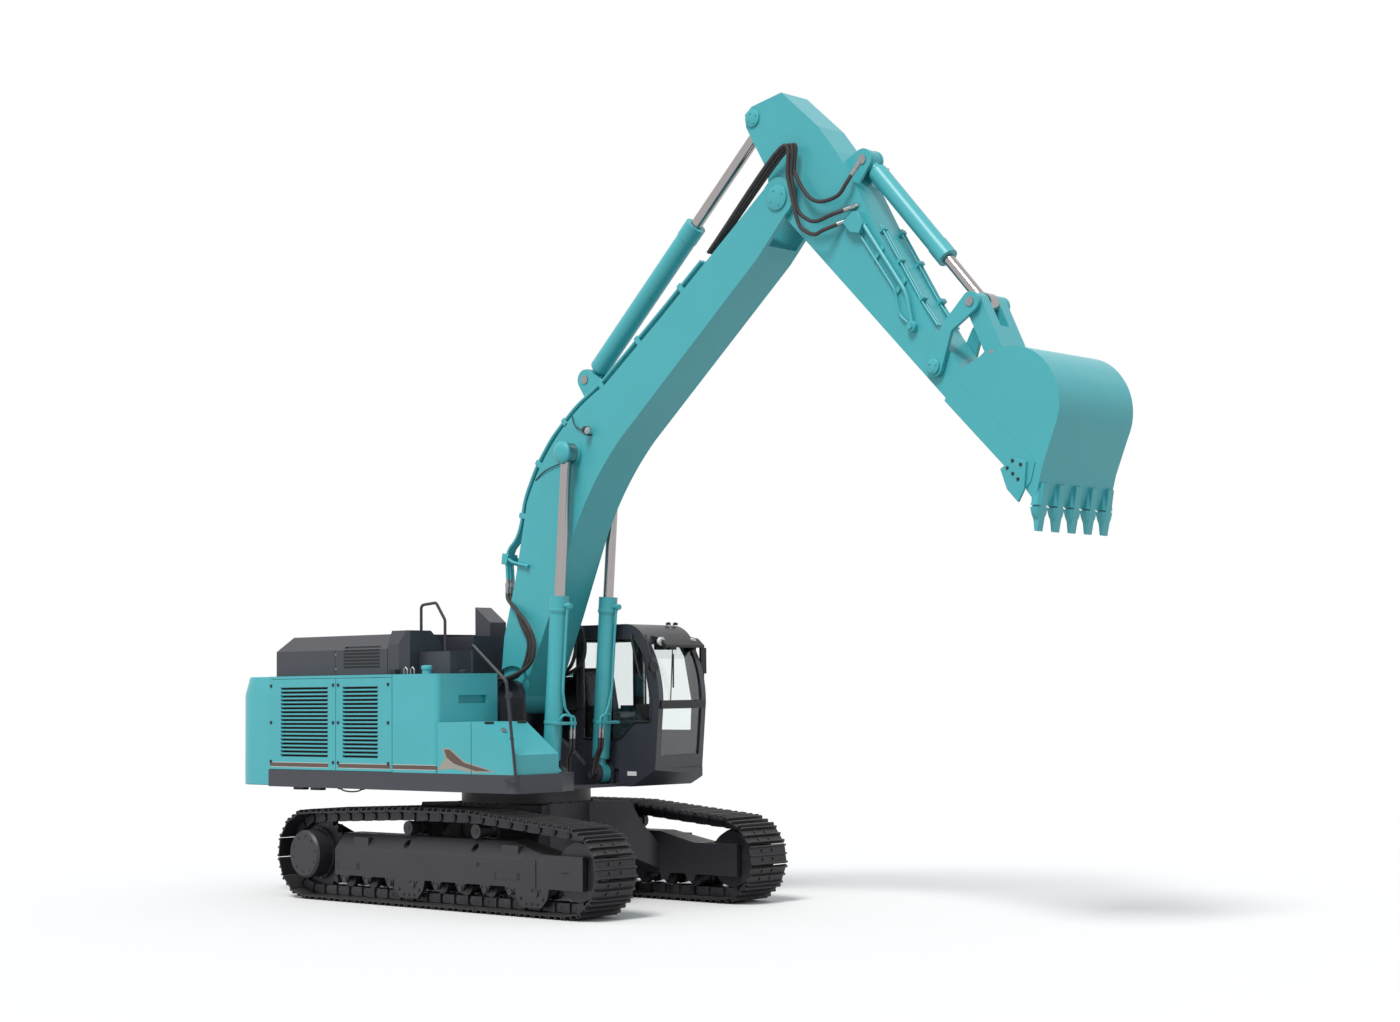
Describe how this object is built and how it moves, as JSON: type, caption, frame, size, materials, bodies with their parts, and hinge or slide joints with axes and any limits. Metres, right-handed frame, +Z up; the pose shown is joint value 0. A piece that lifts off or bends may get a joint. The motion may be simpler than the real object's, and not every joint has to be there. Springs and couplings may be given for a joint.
{
  "type": "crawler excavator",
  "caption": "Full-size crawler excavator with swing, boom, arm, bucket linkage, opening doors, hood and toolbox lid",
  "frame": {"origin": "on the ground under the swing centre", "axes": "+X forward along the tracks, +Y to the machine's left, +Z up"},
  "size_m": [11.6297, 3.026, 8.5935],
  "materials": {
    "teal_paint": "satin",
    "charcoal_paint": "satin",
    "undercarriage_paint": "satin",
    "track_steel": "worn",
    "wear_steel": "worn",
    "pin_steel": "brushed",
    "rod_chrome": "polished",
    "cab_glass": "clear",
    "black_plastic": "matte",
    "seat_cloth": "matte"
  },
  "bodies": {
    "undercarriage": {"car_body": "undercarriage_paint", "slew_ring_lower": "undercarriage_paint", "track_frame_left": "undercarriage_paint", "track_frame_right": "undercarriage_paint", "track_left": "track_steel", "track_right": "track_steel", "sprockets": "wear_steel", "final_drives": "undercarriage_paint", "idlers": "wear_steel", "lower_rollers": "wear_steel", "carrier_rollers": "wear_steel"},
    "upper": {"slew_ring_upper": "undercarriage_paint", "revolving_frame": "charcoal_paint", "frame_pins": "pin_steel", "counterweight": "teal_paint", "engine_block": "undercarriage_paint", "house_frame": "teal_paint", "tanks": "teal_paint", "toolbox": "teal_paint", "additive_tank": "black_plastic", "air_cover": "charcoal_paint", "centre_cover": "charcoal_paint", "cab_shell": "charcoal_paint", "cab_glass": "cab_glass", "operator_seat": "seat_cloth", "consoles": "black_plastic", "handrails": "undercarriage_paint"},
    "boom": {"boom": "teal_paint", "boom_pins": "pin_steel"},
    "boom_barrels": {"boom_cylinder_barrels": "teal_paint"},
    "boom_rods": {"boom_cylinder_rods": "rod_chrome"},
    "arm": {"arm": "teal_paint", "arm_pins": "pin_steel"},
    "arm_barrel": {"arm_cylinder_barrel": "teal_paint"},
    "arm_rod": {"arm_cylinder_rod": "rod_chrome"},
    "bucket": {"bucket": "teal_paint", "bucket_teeth": "wear_steel", "bucket_pins": "pin_steel"},
    "rocker": {"rockers": "teal_paint", "rocker_pins": "pin_steel"},
    "link": {"bucket_link": "teal_paint"},
    "bucket_barrel": {"bucket_cylinder_barrel": "teal_paint"},
    "bucket_rod": {"bucket_cylinder_rod": "rod_chrome"},
    "cab_door": {"cab_door": "charcoal_paint", "door_glass": "cab_glass"},
    "hood": {"engine_hood": "charcoal_paint"},
    "door_right_rear": {"door_right_rear": "teal_paint"},
    "door_right_front": {"door_right_front": "teal_paint"},
    "door_left_rear": {"door_left_rear": "teal_paint"},
    "door_left_front": {"door_left_front": "teal_paint"},
    "lid": {"toolbox_lid": "teal_paint"}
  },
  "joints": [
    {"name": "swing", "type": "hinge", "parent": "undercarriage", "child": "upper", "pos_m": [0, 0, 1.2], "axis": [0, 0, 1], "continuous": true},
    {"name": "boom_lift", "type": "hinge", "parent": "upper", "child": "boom", "pos_m": [0.055, 0, 2.32], "axis": [0, -1, 0], "range_deg": [-80, 12]},
    {"name": "boom_barrel_tilt", "type": "hinge", "parent": "upper", "child": "boom_barrels", "pos_m": [0.815, 0, 1.44], "axis": [0, -1, 0], "range_deg": [-71.97, 10.8]},
    {"name": "boom_rod_slide", "type": "slide", "parent": "boom_barrels", "child": "boom_rods", "axis": [0.0796, 0, 0.9968], "range_m": [-1.46584, 0.21988]},
    {"name": "arm_crowd", "type": "hinge", "parent": "boom", "child": "arm", "pos_m": [4.16824, 0, 7.47256], "axis": [0, 1, 0], "range_deg": [-62, 51.6]},
    {"name": "arm_barrel_tilt", "type": "hinge", "parent": "boom", "child": "arm_barrel", "pos_m": [1.12154, 0, 5.87922], "axis": [0, 1, 0], "range_deg": [-4.47, 3.72]},
    {"name": "arm_rod_slide", "type": "slide", "parent": "arm_barrel", "child": "arm_rod", "axis": [0.7289, 0, 0.6846], "range_m": [-0.9378, 0.78049]},
    {"name": "bucket_tip", "type": "hinge", "parent": "arm", "child": "bucket", "pos_m": [6.45384, 0, 5.21865], "axis": [0, -1, 0], "range_deg": [-130, 35]},
    {"name": "rocker_tilt", "type": "hinge", "parent": "arm", "child": "rocker", "pos_m": [6.15419, 0, 5.4987], "axis": [0, -1, 0], "range_deg": [-80.64, 21.71]},
    {"name": "link_tilt", "type": "hinge", "parent": "bucket", "child": "link", "pos_m": [6.85645, 0, 5.54472], "axis": [0, -1, 0], "range_deg": [-19.96, 74.14]},
    {"name": "bucket_barrel_tilt", "type": "hinge", "parent": "arm", "child": "bucket_barrel", "pos_m": [5.17333, 0, 7.73839], "axis": [0, -1, 0], "range_deg": [-5.2, 1.4]},
    {"name": "bucket_rod_slide", "type": "slide", "parent": "bucket_barrel", "child": "bucket_rod", "axis": [0.6552, 0, -0.7555], "range_m": [-0.24448, 0.90804]},
    {"name": "cab_door_hinge", "type": "hinge", "parent": "upper", "child": "cab_door", "pos_m": [0.416, 1.47, 1.5], "axis": [0, 0, 1], "range_deg": [0, 160]},
    {"name": "hood_hinge", "type": "hinge", "parent": "upper", "child": "hood", "pos_m": [-2.98, 0, 2.585], "axis": [0, -1, 0], "range_deg": [0, 60]},
    {"name": "door_right_rear_hinge", "type": "hinge", "parent": "upper", "child": "door_right_rear", "pos_m": [-2.87, -1.49, 1.5], "axis": [0, 0, -1], "range_deg": [0, 95]},
    {"name": "door_right_front_hinge", "type": "hinge", "parent": "upper", "child": "door_right_front", "pos_m": [-1.605, -1.49, 1.5], "axis": [0, 0, -1], "range_deg": [0, 95]},
    {"name": "door_left_rear_hinge", "type": "hinge", "parent": "upper", "child": "door_left_rear", "pos_m": [-2.87, 1.49, 1.5], "axis": [0, 0, 1], "range_deg": [0, 95]},
    {"name": "door_left_front_hinge", "type": "hinge", "parent": "upper", "child": "door_left_front", "pos_m": [-1.605, 1.49, 1.5], "axis": [0, 0, 1], "range_deg": [0, 95]},
    {"name": "lid_hinge", "type": "hinge", "parent": "upper", "child": "lid", "pos_m": [0.93, -1.16, 2.02941], "axis": [0, -1, 0], "range_deg": [0, 80]}
  ],
  "couplings": [
    {"joint": "boom_barrel_tilt", "follows": "boom_lift", "ratio": 0.8991},
    {"joint": "boom_rod_slide", "follows": "boom_lift", "m_per_rad": 1.0493},
    {"joint": "arm_barrel_tilt", "follows": "arm_crowd", "ratio": 0.072},
    {"joint": "arm_rod_slide", "follows": "arm_crowd", "m_per_rad": 0.8662},
    {"joint": "rocker_tilt", "follows": "bucket_tip", "ratio": 0.62},
    {"joint": "link_tilt", "follows": "bucket_tip", "ratio": -0.57},
    {"joint": "bucket_barrel_tilt", "follows": "bucket_tip", "ratio": 0.04},
    {"joint": "bucket_rod_slide", "follows": "bucket_tip", "m_per_rad": -0.4}
  ]
}
